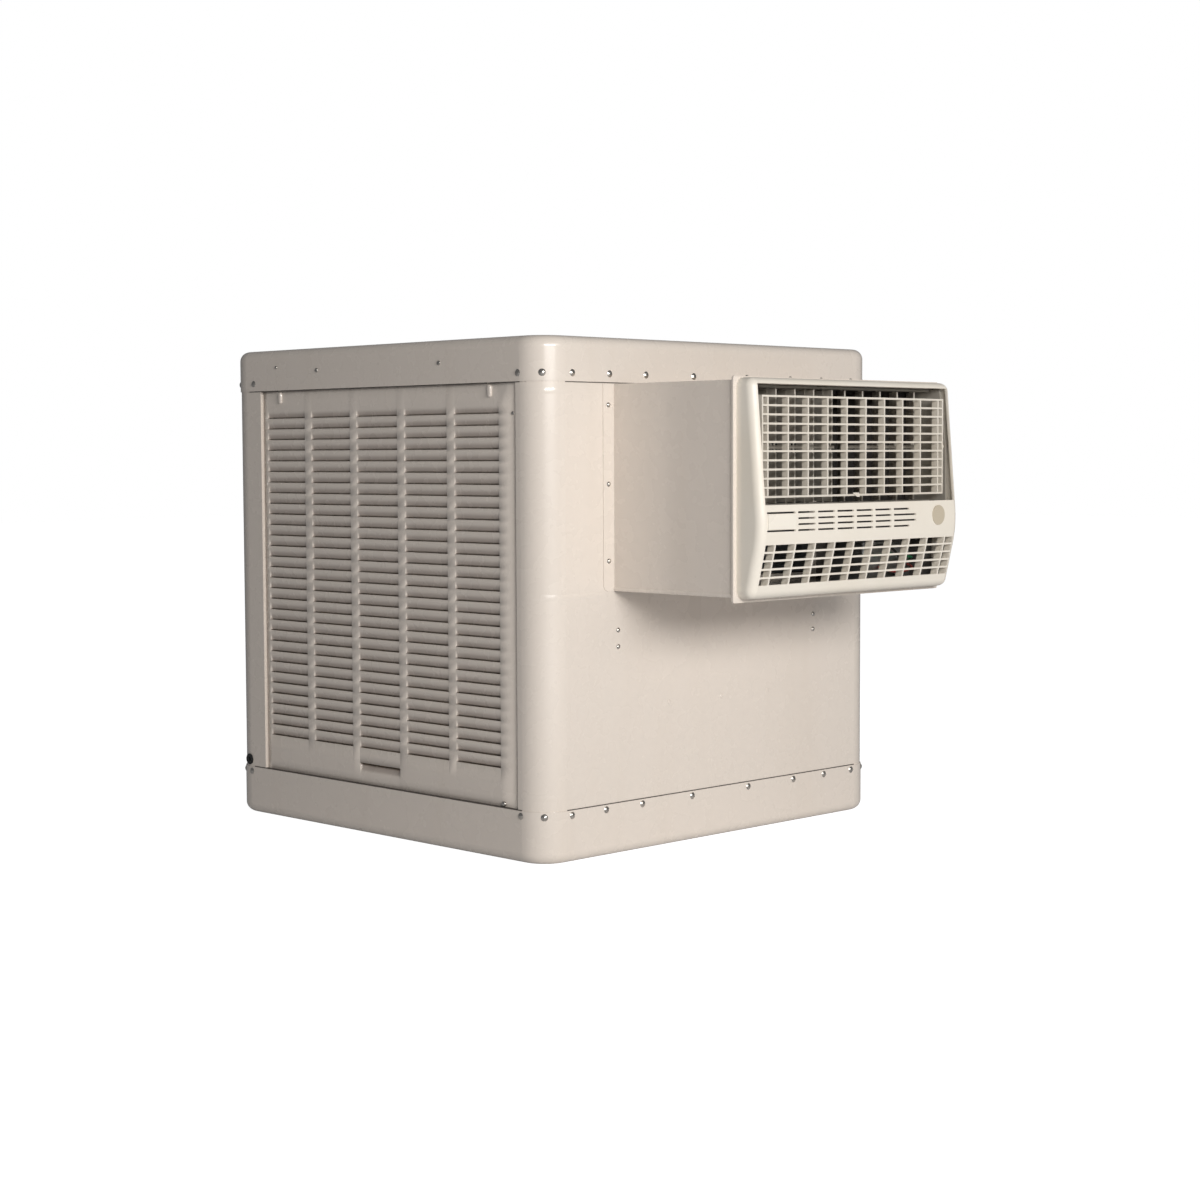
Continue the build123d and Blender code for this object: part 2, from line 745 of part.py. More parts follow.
def pulley(radius, bore):
    """V-belt pulley about the X axis, centred on x = 0, with a solid web and a hub."""
    rim_half = 8.0
    hub_end = 10.0
    web_half = 3.0
    groove_mouth = 6.5
    groove_root = 4.9
    groove_floor = radius - 9.0
    rim_inner = radius - 15.0
    hub = min(20.0, radius - 20)
    with BuildPart() as wheel:
        with BuildSketch():
            with BuildLine():
                Polyline((-hub_end, bore), (hub_end, bore), (hub_end, hub), (web_half, hub),
                         (web_half, rim_inner), (rim_half, rim_inner), (rim_half, radius),
                         (groove_mouth, radius), (groove_root, groove_floor),
                         (-groove_root, groove_floor), (-groove_mouth, radius),
                         (-rim_half, radius), (-rim_half, rim_inner), (-web_half, rim_inner),
                         (-web_half, hub), (-hub_end, hub), close=True)
            make_face()
        revolve(axis=Axis.X)
    return wheel.part


for name, radius, bore, y, z in (
        ("blower_pulley", pulley_radius, shaft_radius, wheel_y, wheel_z),
        ("motor_pulley", motor_pulley_radius, motor_shaft_radius, motor_y, motor_z)):
    piece = pulley(radius, bore).translate((pulley_x, y, z))
    piece.label = name
    export_step(piece, f"parts/{name}.step")

with BuildPart() as drive_belt:
    with BuildSketch(Plane.YZ.offset(pulley_x - belt_width / 2)):
        with Locations([(wheel_y, wheel_z)]):
            Circle(pulley_radius - 1)
        with Locations([(motor_y, motor_z)]):
            Circle(motor_pulley_radius - 1)
        make_hull()
        offset(amount=-belt_thickness, mode=Mode.SUBTRACT)
    extrude(amount=belt_width)
save(drive_belt, "drive_belt")


# ======== motor ========

with BuildPart() as motor_shell:
    rod((motor_start, motor_y, motor_z), (1, 0, 0), motor_radius, motor_end - motor_start)
    fillet(motor_shell.edges().filter_by(GeomType.CIRCLE), motor_edge_radius)
    rod((motor_start + end_bell, motor_y, motor_z), (1, 0, 0), motor_radius - stator,
        motor_end - motor_start - 2 * end_bell, mode=Mode.SUBTRACT)
    rod((0, motor_y, motor_z), (1, 0, 0), motor_shaft_radius + running_clearance, half_width,
        mode=Mode.SUBTRACT)
save(motor_shell, "motor_shell")

with BuildPart() as motor_rotor:
    rod((motor_start + 2, motor_y, motor_z), (1, 0, 0), motor_shaft_radius,
        pulley_x + 14 - motor_start)
    rod((motor_start + rotor_inset, motor_y, motor_z), (1, 0, 0), rotor_radius,
        motor_end - motor_start - 2 * rotor_inset)
save(motor_rotor, "motor_rotor")

shelf_thickness = 2.0
shelf_half = 228.0
shelf_edge = -182.0
shelf_lip = 12.0
wall_leg = 18.0
wall_leg_top = 324.0
strap_half = 8.0
strap_thickness = 3.0
strap_inset = 24.0
strut_half = 14.0
with BuildPart() as motor_mount:
    beam((-shelf_half, wall_inner, shelf_height),
         (shelf_half, shelf_edge, shelf_height + shelf_thickness))
    beam((-shelf_half, wall_inner, shelf_height - wall_leg),
         (shelf_half, wall_inner + shelf_thickness, wall_leg_top))
    beam((-shelf_half, shelf_edge - shelf_thickness, shelf_height - shelf_lip),
         (shelf_half, shelf_edge, shelf_height))
    for x in (motor_start + strap_inset, motor_end - strap_inset):
        beam((x - strap_half, motor_y - strut_half, motor_z + motor_radius - 2),
             (x + strap_half, motor_y + strut_half, shelf_height))
        rod((x - strap_half, motor_y, motor_z), (1, 0, 0), motor_radius + strap_thickness,
            2 * strap_half)
        rod((x - strap_half, motor_y, motor_z), (1, 0, 0), motor_radius, 2 * strap_half,
            mode=Mode.SUBTRACT)
save(motor_mount, "motor_mount")


# ======== water system ========

spout_y = riser_y
spout_top = 52.0
spout_half = 8.0
spout_bore_radius = 4.5
foot_radius = 44.0
foot_top = 7.0
housing_radius = 30.0
housing_top = 34.0
column_radius = 10.0
seat_radius = 34.0
seat_bottom = 94.0
seat_top = 99.0
chamber_radius = 21.0
chamber_bottom = 14.0
chamber_top = 28.0
with BuildPart() as pump_body:
    with BuildSketch(Plane.XZ):
        with BuildLine():
            Polyline((0, sheet), (foot_radius, sheet), (foot_radius, foot_top),
                     (housing_radius, foot_top), (housing_radius, housing_top),
                     (column_radius, housing_top), (column_radius, seat_bottom),
                     (seat_radius, seat_bottom), (seat_radius, seat_top),
                     (pump_bore, seat_top), (pump_bore, chamber_top),
                     (chamber_radius, chamber_top), (chamber_radius, chamber_bottom),
                     (0, chamber_bottom), close=True)
        make_face()
    revolve(axis=Axis.Z)
    spout_reach = spout_y - pump_y
    beam((-spout_half, 26, chamber_bottom), (spout_half, spout_reach, chamber_top + 2))
    rod((0, spout_reach, chamber_bottom), (0, 0, 1), spout_half, spout_top - chamber_bottom)
    rod((0, spout_reach, 20), (0, 0, 1), spout_bore_radius, spout_top, mode=Mode.SUBTRACT)
placed_pump = pump_body.part.translate((pump_x, pump_y, 0))
placed_pump.label = "pump_body"
export_step(placed_pump, "parts/pump_body.step")

with BuildPart() as pump_motor:
    rod((pump_x, pump_y, seat_top), (0, 0, 1), pump_motor_radius, pump_motor_height)
    fillet(pump_motor.edges().group_by(Axis.Z)[-1], pump_motor_edge)
    rod((pump_x, pump_y, seat_top), (0, 0, 1), pump_bore, 16, mode=Mode.SUBTRACT)
save(pump_motor, "pump_motor")

with BuildPart() as pump_impeller:
    rod((pump_x, pump_y, impeller_bottom), (0, 0, 1), pump_shaft_radius, 96)
    rod((pump_x, pump_y, impeller_bottom), (0, 0, 1), impeller_radius, impeller_disc)
    with BuildSketch(Plane.XY.offset(impeller_bottom + impeller_disc)):
        with Locations([(pump_x, pump_y)]):
            with PolarLocations(impeller_radius - 8, impeller_vanes):
                Rectangle(15, blade_thickness, rotation=25)
    extrude(amount=impeller_vane_height)
save(pump_impeller, "pump_impeller")


def water_tube(*points, bend=24.0):
    """Hollow hose along straight runs joined by arcs."""
    with BuildPart() as hose:
        with BuildLine():
            path = FilletPolyline(*points, radius=bend)
        with BuildSketch(Plane(origin=path @ 0, z_dir=path % 0)):
            Circle(tube_radius)
            Circle(tube_radius - tube_wall, mode=Mode.SUBTRACT)
        sweep()
    return hose


distributor_half = 13.0
riser_run = 660.0
save(water_tube((pump_x, spout_y, spout_top), (pump_x, spout_y, riser_run),
                (0, riser_y, riser_run), (0, riser_y, spray_height - 10),
                bend=[40.0, 20.0]), "riser_tube")

with BuildPart() as distributor:
    with Locations([(0, riser_y, spray_height)]):
        Box(2 * distributor_half, 2 * distributor_half, 20)
    fillet(distributor.edges().filter_by(Axis.Z), 4.0)
save(distributor, "distributor")

trough_centre = 328.0
trough_drop = 676.0
with BuildPart() as spray_tubes:
    for side in (-1, 1):
        add(water_tube((side * distributor_half, riser_y, spray_height),
                       (side * trough_centre, riser_y, spray_height),
                       (side * trough_centre, riser_y, trough_drop), bend=12.0).part)
    add(water_tube((0, riser_y + distributor_half, spray_height),
                   (0, trough_centre, spray_height),
                   (0, trough_centre, trough_drop), bend=12.0).part)
save(spray_tubes, "spray_tubes")

# Drip troughs over the pads, hung from the top pan.
trough_half = 13.0
trough_bottom = 651.0
trough_lip = 672.0
drip_hole_radius = 2.5
drip_hole_pitch = 32.0
drip_holes = 16
hanger_width = 14.0
hanger_top = cabinet_height - sheet


def trough(low, high):
    """Trough along Y, centred on x = 0, with its hangers on the +X edge."""
    with BuildPart() as channel:
        beam((-trough_half, low, trough_bottom), (trough_half, high, trough_lip))
        beam((-trough_half + sheet, low + sheet, trough_bottom + sheet),
             (trough_half - sheet, high - sheet, trough_lip + 1), mode=Mode.SUBTRACT)
        with BuildSketch(Plane.XY.offset(trough_bottom)):
            with Locations([(0, (low + high) / 2)]):
                with GridLocations(1, drip_hole_pitch, 1, drip_holes):
                    Circle(drip_hole_radius)
        extrude(amount=sheet, mode=Mode.SUBTRACT)
        for y in (low + 90, high - 150):
            beam((trough_half - sheet, y, trough_lip - 6),
                 (trough_half, y + hanger_width, hanger_top))
    return channel.part


side_trough = trough(-284, 262)
other_trough = mirror(side_trough, about=Plane.YZ)
rear_trough = trough(-262, 262).rotate(Axis.Z, -90)
with BuildPart() as water_troughs:
    add(side_trough.translate((-trough_centre, 0, 0)))
    add(other_trough.translate((trough_centre, 0, 0)))
    add(rear_trough.translate((0, trough_centre, 0)))
save(water_troughs, "water_troughs")

with BuildPart() as inlet_grommet:
    rod((-half_width, valve_y, valve_z), (1, 0, 0), inlet_hole_radius, grommet_length)
    rod((-half_width + 0.1, valve_y, valve_z), (1, 0, 0), inlet_hole_radius + 2.5, 1.2)
    rod((-half_width - 1, valve_y, valve_z), (1, 0, 0), inlet_bore_radius, 20,
        mode=Mode.SUBTRACT)
save(inlet_grommet, "inlet_grommet")

valve_end = -292.0
nozzle_x = -320.0
fork_gap = 2.6
pivot_y = valve_y - 7
pivot_x = valve_end + fork_length / 2
valve_start = -half_width + grommet_length
with BuildPart() as float_valve:
    rod((valve_start, valve_y, valve_z), (1, 0, 0), valve_body_radius, valve_end - valve_start)
    rod((valve_start - 0.5, valve_y, valve_z), (1, 0, 0), inlet_bore_radius,
        inlet_bore_end - valve_start + 0.5, mode=Mode.SUBTRACT)
    rod((nozzle_x, valve_y, valve_z - 20), (0, 0, 1), nozzle_radius, 20)
    beam((valve_end, valve_y - 12, valve_z - valve_half_height),
         (valve_end + fork_length, valve_y + 6, valve_z + valve_half_height))
    beam((pivot_x - fork_gap, valve_y - 20, valve_z - 10),
         (pivot_x + fork_gap, valve_y + 1, valve_z + 10), mode=Mode.SUBTRACT)
    rod((valve_end, pivot_y, valve_z), (1, 0, 0), pivot_radius, fork_length)
save(float_valve, "float_valve")

float_y = 190.0
float_z = 45.0
float_radius = 25.0
arm_eye_radius = 5.0
with BuildPart() as float_arm:
    rod((pivot_x - 2, pivot_y, valve_z), (1, 0, 0), arm_eye_radius, 4)
    arm = Vector(0, float_y - pivot_y, float_z - valve_z)
    rod((pivot_x, pivot_y, valve_z), arm.normalized(), arm_radius, arm.length)
    rod((pivot_x - 5, pivot_y, valve_z), (1, 0, 0), pivot_radius + running_clearance, 10,
        mode=Mode.SUBTRACT)
save(float_arm, "float_arm")

with BuildPart() as float_ball:
    with Locations([(pivot_x, float_y, float_z)]):
        Sphere(float_radius)
    rod((pivot_x, pivot_y, valve_z), arm.normalized(), arm_radius, arm.length + 5,
        mode=Mode.SUBTRACT)
save(float_ball, "float_ball")

with BuildPart() as drain_bushing:
    rod((drain_x, drain_y, 3), (0, 0, 1), drain_bore - 0.1, drain_seat_height)
    rod((drain_x, drain_y, drain_seat_height), (0, 0, 1), bushing_radius, bushing_flange)
    rod((drain_x, drain_y, 3), (0, 0, 1), bushing_radius - 1, drain_seat_height - sheet - 3)
    rod((drain_x, drain_y, 0), (0, 0, 1), pipe_bore_radius, 30, mode=Mode.SUBTRACT)
save(drain_bushing, "drain_bushing")

with BuildPart() as overflow_pipe:
    rod((drain_x, drain_y, 6), (0, 0, 1), pipe_radius, pipe_length)
    rod((drain_x, drain_y, drain_seat_height + bushing_flange), (0, 0, 1), pipe_collar_radius,
        pipe_collar)
    rod((drain_x, drain_y, 0), (0, 0, 1), pipe_inner_radius, 80, mode=Mode.SUBTRACT)
save(overflow_pipe, "overflow_pipe")
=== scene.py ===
import json
import math
import random

import bmesh
import bpy
from mathutils import Matrix, Vector, noise


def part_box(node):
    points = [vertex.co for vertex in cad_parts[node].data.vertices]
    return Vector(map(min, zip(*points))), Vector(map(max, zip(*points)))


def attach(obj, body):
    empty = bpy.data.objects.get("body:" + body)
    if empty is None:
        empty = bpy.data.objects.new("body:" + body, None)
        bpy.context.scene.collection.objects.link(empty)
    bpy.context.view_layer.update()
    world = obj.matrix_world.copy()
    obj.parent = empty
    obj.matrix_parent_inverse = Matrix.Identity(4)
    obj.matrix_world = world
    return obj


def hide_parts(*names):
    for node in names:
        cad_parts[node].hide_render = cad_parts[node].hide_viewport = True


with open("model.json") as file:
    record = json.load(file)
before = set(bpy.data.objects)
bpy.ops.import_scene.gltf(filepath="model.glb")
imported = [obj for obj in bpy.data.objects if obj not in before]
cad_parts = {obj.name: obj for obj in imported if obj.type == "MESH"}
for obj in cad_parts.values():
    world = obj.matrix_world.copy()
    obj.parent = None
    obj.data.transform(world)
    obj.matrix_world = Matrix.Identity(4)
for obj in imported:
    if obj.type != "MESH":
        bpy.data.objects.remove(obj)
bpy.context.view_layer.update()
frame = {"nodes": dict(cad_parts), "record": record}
nodes = frame["nodes"]

MM = 0.001


# ======== camera, light and floor ========

CAMERA_PLACE = (-2.3601, -2.4969, 0.5595)
CAMERA_TURN = 44.639
CAMERA_DIP = 3.816
CAMERA_ROLL = -0.225
CAMERA_LENS = 65.63
SENSOR_WIDTH = 36.0
FLOOR_HALF = 14.0
FLOOR_GLOW = 0.93
AMBIENT_STRENGTH = 0.165
KEY_POWER = 112
FILL_POWER = 20


def make_camera():
    """A little above the cabinet's middle, looking at its front-left corner."""
    turn = math.radians(CAMERA_TURN)
    dip = math.radians(CAMERA_DIP)
    roll = math.radians(CAMERA_ROLL)
    forward = Vector((math.sin(turn) * math.cos(dip), math.cos(turn) * math.cos(dip),
                      -math.sin(dip)))
    level = Vector((math.cos(turn), -math.sin(turn), 0))
    upright = level.cross(forward)
    across = level * math.cos(roll) + upright * math.sin(roll)
    up = upright * math.cos(roll) - level * math.sin(roll)
    data = bpy.data.cameras.new("camera")
    data.sensor_width = SENSOR_WIDTH
    data.lens = CAMERA_LENS
    data.clip_end = 100
    camera = bpy.data.objects.new("camera", data)
    turned = Matrix((across, up, -forward)).transposed().to_4x4()
    camera.matrix_world = Matrix.Translation(CAMERA_PLACE) @ turned
    bpy.context.scene.collection.objects.link(camera)
    bpy.context.scene.camera = camera


def make_floor():
    """A pale paper floor that throws back less light than it shows."""
    mesh = bpy.data.meshes.new("floor")
    corners = [(x * FLOOR_HALF, y * FLOOR_HALF, 0) for x, y in ((-1, -1), (1, -1), (1, 1), (-1, 1))]
    mesh.from_pydata(corners, [], [(0, 1, 2, 3)])
    floor = bpy.data.objects.new("floor", mesh)
    material = bpy.data.materials.new("floor_paper")
    material.use_nodes = True
    tree = material.node_tree
    shader = tree.nodes["Principled BSDF"]
    shader.inputs["Roughness"].default_value = 0.9
    shader.inputs["Specular IOR Level"].default_value = 0.1
    ray = tree.nodes.new("ShaderNodeLightPath")
    paper = tree.nodes.new("ShaderNodeMix")
    paper.data_type = "RGBA"
    paper.inputs["A"].default_value = (0.79, 0.80, 0.82, 1)
    paper.inputs["B"].default_value = (0.62, 0.62, 0.62, 1)
    glow = tree.nodes.new("ShaderNodeMath")
    glow.operation = "MULTIPLY"
    glow.inputs[1].default_value = FLOOR_GLOW
    tree.links.new(ray.outputs["Is Camera Ray"], paper.inputs["Factor"])
    tree.links.new(ray.outputs["Is Camera Ray"], glow.inputs[0])
    tree.links.new(paper.outputs["Result"], shader.inputs["Base Color"])
    shader.inputs["Emission Color"].default_value = (1, 1, 1, 1)
    tree.links.new(glow.outputs["Value"], shader.inputs["Emission Strength"])
    mesh.materials.append(material)
    bpy.context.scene.collection.objects.link(floor)


def make_world():
    """White where the camera sees it, and a dim ambient light for the object."""
    world = bpy.data.worlds.new("studio")
    world.use_nodes = True
    tree = world.node_tree
    shown = tree.nodes["Background"]
    shown.inputs["Color"].default_value = (1, 1, 1, 1)
    shown.inputs["Strength"].default_value = 1.0
    ambient = tree.nodes.new("ShaderNodeBackground")
    ambient.inputs["Color"].default_value = (0.97, 0.98, 1.0, 1)
    ambient.inputs["Strength"].default_value = AMBIENT_STRENGTH
    ray = tree.nodes.new("ShaderNodeLightPath")
    mix = tree.nodes.new("ShaderNodeMixShader")
    tree.links.new(ray.outputs["Is Camera Ray"], mix.inputs["Fac"])
    tree.links.new(ambient.outputs["Background"], mix.inputs[1])
    tree.links.new(shown.outputs["Background"], mix.inputs[2])
    tree.links.new(mix.outputs["Shader"], tree.nodes["World Output"].inputs["Surface"])
    bpy.context.scene.world = world


def area_light(name, place, target, size, power, colour):
    data = bpy.data.lights.new(name, "AREA")
    data.shape = "RECTANGLE"
    data.size, data.size_y = size
    data.energy = power
    data.color = colour
    light = bpy.data.objects.new(name, data)
    light.location = place
    aim = Vector(target) - Vector(place)
    light.rotation_euler = aim.to_track_quat("-Z", "Y").to_euler()
    bpy.context.scene.collection.objects.link(light)


def make_lights():
    """One wide softbox ahead of the corner, a weak one ahead of the front."""
    warm = (1.0, 0.98, 0.955)
    area_light("key", (-1.6, -4.0, 1.45), (0, -0.1, 0.35), (2.6, 0.9), KEY_POWER, warm)
    area_light("fill", (-0.6, -4.0, 1.65), (0, -0.1, 0.40), (3.0, 0.9), FILL_POWER, warm)


# ======== materials ========

class Surface:
    """A node material with a Principled shader, built up from a few procedural layers."""

    def __init__(self, name, colour, roughness, metallic=0.0):
        self.material = bpy.data.materials.new(name)
        self.material.use_nodes = True
        self.tree = self.material.node_tree
        self.shader = self.tree.nodes["Principled BSDF"]
        self.shader.inputs["Base Color"].default_value = (*colour, 1)
        self.shader.inputs["Roughness"].default_value = roughness
        self.shader.inputs["Metallic"].default_value = metallic
        self.colour = None
        self.place = self.tree.nodes.new("ShaderNodeTexCoord").outputs["Object"]
        self.base = colour
        self.normal = None

    def node(self, kind, **settings):
        made = self.tree.nodes.new(kind)
        for key, value in settings.items():
            setattr(made, key, value)
        return made

    def link(self, start, end):
        self.tree.links.new(start, end)

    def stretched(self, scale):
        """The object's coordinates, scaled separately along X, Y and Z."""
        mapping = self.node("ShaderNodeMapping")
        mapping.inputs["Scale"].default_value = scale
        self.link(self.place, mapping.inputs["Vector"])
        return mapping.outputs["Vector"]

    def noise(self, scale, detail=3.0, roughness=0.55, stretch=None, distortion=0.0):
        texture = self.node("ShaderNodeTexNoise")
        texture.inputs["Scale"].default_value = scale
        texture.inputs["Detail"].default_value = detail
        texture.inputs["Roughness"].default_value = roughness
        texture.inputs["Distortion"].default_value = distortion
        self.link(self.stretched(stretch) if stretch else self.place, texture.inputs["Vector"])
        return texture.outputs["Fac"]

    def ranged(self, value, low, high, out_low, out_high):
        """Maps a value from one range to another, clamped."""
        made = self.node("ShaderNodeMapRange", interpolation_type="SMOOTHERSTEP")
        for socket, number in (("From Min", low), ("From Max", high), ("To Min", out_low),
                               ("To Max", out_high)):
            made.inputs[socket].default_value = number
        self.link(value, made.inputs["Value"])
        return made.outputs["Result"]

    def tint(self, mask, colour):
        """Mixes another colour in where the mask is 1."""
        mix = self.node("ShaderNodeMix", data_type="RGBA")
        self.link(mask, mix.inputs["Factor"])
        if self.colour is None:
            mix.inputs["A"].default_value = (*self.base, 1)
        else:
            self.link(self.colour, mix.inputs["A"])
        mix.inputs["B"].default_value = (*colour, 1)
        self.colour = mix.outputs["Result"]
        self.link(self.colour, self.shader.inputs["Base Color"])

    def rough(self, value, low, high):
        self.link(self.ranged(value, 0.3, 0.7, low, high), self.shader.inputs["Roughness"])

    def bump(self, height, strength, distance):
        made = self.node("ShaderNodeBump")
        made.inputs["Strength"].default_value = strength
        made.inputs["Distance"].default_value = distance
        self.link(height, made.inputs["Height"])
        if self.normal is not None:
            self.link(self.normal, made.inputs["Normal"])
        self.normal = made.outputs["Normal"]
        self.link(self.normal, self.shader.inputs["Normal"])

    def set(self, **values):
        for key, value in values.items():
            self.shader.inputs[key.replace("_", " ")].default_value = value


def enamel_surface(name, colour):
    """Baked enamel on sheet steel: slight orange peel, faint streaks and dust."""
    made = Surface(name, colour, 0.25)
    dusty = tuple(c * f for c, f in zip(colour, (0.92, 0.90, 0.87)))
    streaks = made.noise(7.0, 3.0, 0.5, stretch=(2.5, 2.5, 0.3))
    made.tint(made.ranged(streaks, 0.45, 0.85, 0.0, 0.30), dusty)
    specks = made.noise(190.0, 2.0, 0.5)
    made.tint(made.ranged(specks, 0.74, 0.80, 0.0, 0.20), tuple(c * 0.75 for c in colour))
    made.rough(made.noise(35.0, 3.0, 0.5), 0.25, 0.29)
    made.bump(made.noise(420.0, 2.0, 0.5), 0.08, 0.0003)
    made.set(Coat_Weight=0.6, Coat_Roughness=0.10)
    return made


def louvred_enamel(name, colour):
    """Enamel with painted shade in the pressed louvres, darker towards each louvre's deep slit."""
    made = enamel_surface(name, colour)
    louvre_shade = made.node("ShaderNodeAttribute", attribute_name="louvre_shade")
    # painted shade: the paint is darkened by the vertex attribute that grows with the louvre's
    # pressed depth
    made.tint(made.ranged(louvre_shade.outputs["Fac"], 0.0, 0.7, 0.0, 0.95),
              tuple(c * f for c, f in zip(colour, (0.66, 0.63, 0.62))))
    made.set(Coat_Weight=0.3)
    return made.material


def duct_enamel(name, colour):
    """Enamel outside, and painted shade, a flat near-black, on the faces inside the duct."""
    made = enamel_surface(name, colour)
    parts = made.node("ShaderNodeSeparateXYZ")
    made.link(made.place, parts.inputs["Vector"])
    half, bottom, top = 218.4 * MM, 370.6 * MM, 655.4 * MM
    limits = ((parts.outputs["X"], "LESS_THAN", half), (parts.outputs["X"], "GREATER_THAN", -half),
              (parts.outputs["Z"], "GREATER_THAN", bottom), (parts.outputs["Z"], "LESS_THAN", top))
    inside = None
    for value, test, limit in limits:
        compare = made.node("ShaderNodeMath", operation=test)
        compare.inputs[1].default_value = limit
        made.link(value, compare.inputs[0])
        if inside is None:
            inside = compare.outputs["Value"]
            continue
        both = made.node("ShaderNodeMath", operation="MULTIPLY")
        made.link(inside, both.inputs[0])
        made.link(compare.outputs["Value"], both.inputs[1])
        inside = both.outputs["Value"]
    # painted shade: the faces inside the duct are tinted near-black
    made.tint(inside, (0.15, 0.14, 0.13))
    return made.material


def moulded(name, colour, roughness=0.42, grain=900.0):
    """Injection-moulded plastic: fine spark texture, slight flow clouding."""
    made = Surface(name, colour, roughness)
    made.tint(made.ranged(made.noise(6.0, 3.0), 0.35, 0.7, 0.0, 0.8),
              tuple(c * f for c, f in zip(colour, (0.97, 0.955, 0.93))))
    made.tint(made.ranged(made.noise(70.0, 5.0, 0.7), 0.60, 0.78, 0.0, 0.22),
              tuple(c * 0.8 for c in colour))
    made.rough(made.noise(30.0, 3.0), roughness - 0.06, roughness + 0.08)
    made.bump(made.noise(grain, 2.0, 0.5), 0.12, 0.0003)
    made.bump(made.noise(7.0, 1.0), 0.15, 0.001)
    return made.material


def galvanised(name, colour=(0.42, 0.43, 0.43)):
    """Hot-dip zinc with its spangle of crystals."""
    made = Surface(name, colour, 0.42, 0.9)
    crystals = made.node("ShaderNodeTexVoronoi")
    crystals.inputs["Scale"].default_value = 70.0
    made.link(made.place, crystals.inputs["Vector"])
    value = made.node("ShaderNodeSeparateColor")
    made.link(crystals.outputs["Color"], value.inputs["Color"])
    made.tint(made.ranged(value.outputs["Red"], 0.1, 0.9, 0.0, 1.0),
              tuple(c * 0.78 for c in colour))
    made.tint(made.ranged(made.noise(12.0, 5.0, 0.7), 0.55, 0.8, 0.0, 0.5), (0.36, 0.35, 0.33))
    made.rough(value.outputs["Green"], 0.32, 0.52)
    made.bump(made.noise(60.0, 3.0), 0.12, 0.0006)
    return made.material


def bare_metal(name, colour, roughness=0.3, brush=(1.0, 1.0, 60.0), stain=(0.30, 0.27, 0.24)):
    """Turned or brushed metal with fine tool lines and a little staining."""
    made = Surface(name, colour, roughness, 1.0)
    lines = made.noise(40.0, 4.0, 0.6, stretch=brush)
    made.tint(made.ranged(made.noise(25.0, 5.0, 0.7), 0.55, 0.85, 0.0, 0.6), stain)
    made.rough(lines, roughness - 0.08, roughness + 0.12)
    made.bump(lines, 0.15, 0.0004)
    return made.material


def soft_rubber(name, colour=(0.03, 0.03, 0.032)):
    made = Surface(name, colour, 0.75)
    made.tint(made.ranged(made.noise(45.0, 5.0, 0.7), 0.5, 0.8, 0.0, 0.5), (0.10, 0.095, 0.09))
    made.rough(made.noise(80.0, 3.0), 0.62, 0.85)
    made.bump(made.noise(500.0, 3.0), 0.3, 0.0004)
    return made.material


def clear_hose(name, colour=(0.66, 0.70, 0.66)):
    made = Surface(name, colour, 0.28)
    made.tint(made.ranged(made.noise(18.0, 4.0), 0.5, 0.75, 0.0, 0.5), (0.55, 0.55, 0.44))
    made.rough(made.noise(40.0, 2.0), 0.2, 0.38)
    made.bump(made.noise(120.0, 2.0), 0.1, 0.0004)
    made.set(Transmission_Weight=0.35, IOR=1.45)
    return made.material


def wood_fibre(name, colour=(0.56, 0.42, 0.25)):
    """Shredded aspen: long pale and brown fibres lying every way."""
    made = Surface(name, colour, 0.85)
    for scale, stretch, dark in ((30.0, (1, 8, 1), (0.36, 0.25, 0.13)),
                                 (34.0, (1, 1, 9), (0.70, 0.56, 0.36)),
                                 (28.0, (7, 1, 1), (0.44, 0.31, 0.17))):
        grain = made.noise(scale, 6.0, 0.7, stretch=stretch, distortion=0.6)
        made.tint(made.ranged(grain, 0.48, 0.62, 0.0, 0.75), dark)
    made.rough(made.noise(60.0, 3.0), 0.78, 0.95)
    made.bump(made.noise(70.0, 6.0, 0.75, stretch=(1, 4, 1), distortion=0.8), 0.9, 0.004)
    made.set(Sheen_Weight=0.15)
    return made.material


PAINT = (0.785, 0.708, 0.632)
GRILLE = (0.83, 0.775, 0.685)
materials = {
    "cabinet_paint": enamel_surface("cabinet_enamel", PAINT).material,
    "rivet_steel": bare_metal("rivet_steel", (0.56, 0.53, 0.49), 0.24, (60.0, 60.0, 60.0)),
    "grille_plastic": moulded("grille_plastic", GRILLE),
    "label_film": moulded("label_film", (0.86, 0.81, 0.72), 0.3, 300.0),
    "galvanised": galvanised("galvanised_sheet"),
    "shaft_steel": bare_metal("shaft_steel", (0.58, 0.57, 0.56), 0.25, (60.0, 1.0, 1.0)),
    "cast_pulley": bare_metal("cast_pulley", (0.22, 0.22, 0.23), 0.5, (60.0, 1.0, 1.0)),
    "bearing_bronze": bare_metal("bearing_bronze", (0.50, 0.33, 0.16), 0.45),
    "motor_paint": moulded("motor_paint", (0.045, 0.05, 0.055), 0.38, 300.0),
    "belt_rubber": soft_rubber("belt_rubber"),
    "pump_plastic": moulded("pump_plastic", (0.03, 0.08, 0.17), 0.4),
    "hose": clear_hose("hose_vinyl"),
    "fitting_plastic": moulded("fitting_plastic", (0.035, 0.035, 0.035), 0.45),
    "grommet_rubber": soft_rubber("grommet_rubber", (0.02, 0.02, 0.02)),
    "valve_brass": bare_metal("valve_brass", (0.66, 0.47, 0.18), 0.3),
    "float_plastic": moulded("float_plastic", (0.60, 0.16, 0.05), 0.3),
    "aspen_pad": wood_fibre("aspen_pad"),
}
louvred_paint = louvred_enamel("louvred_enamel", PAINT)


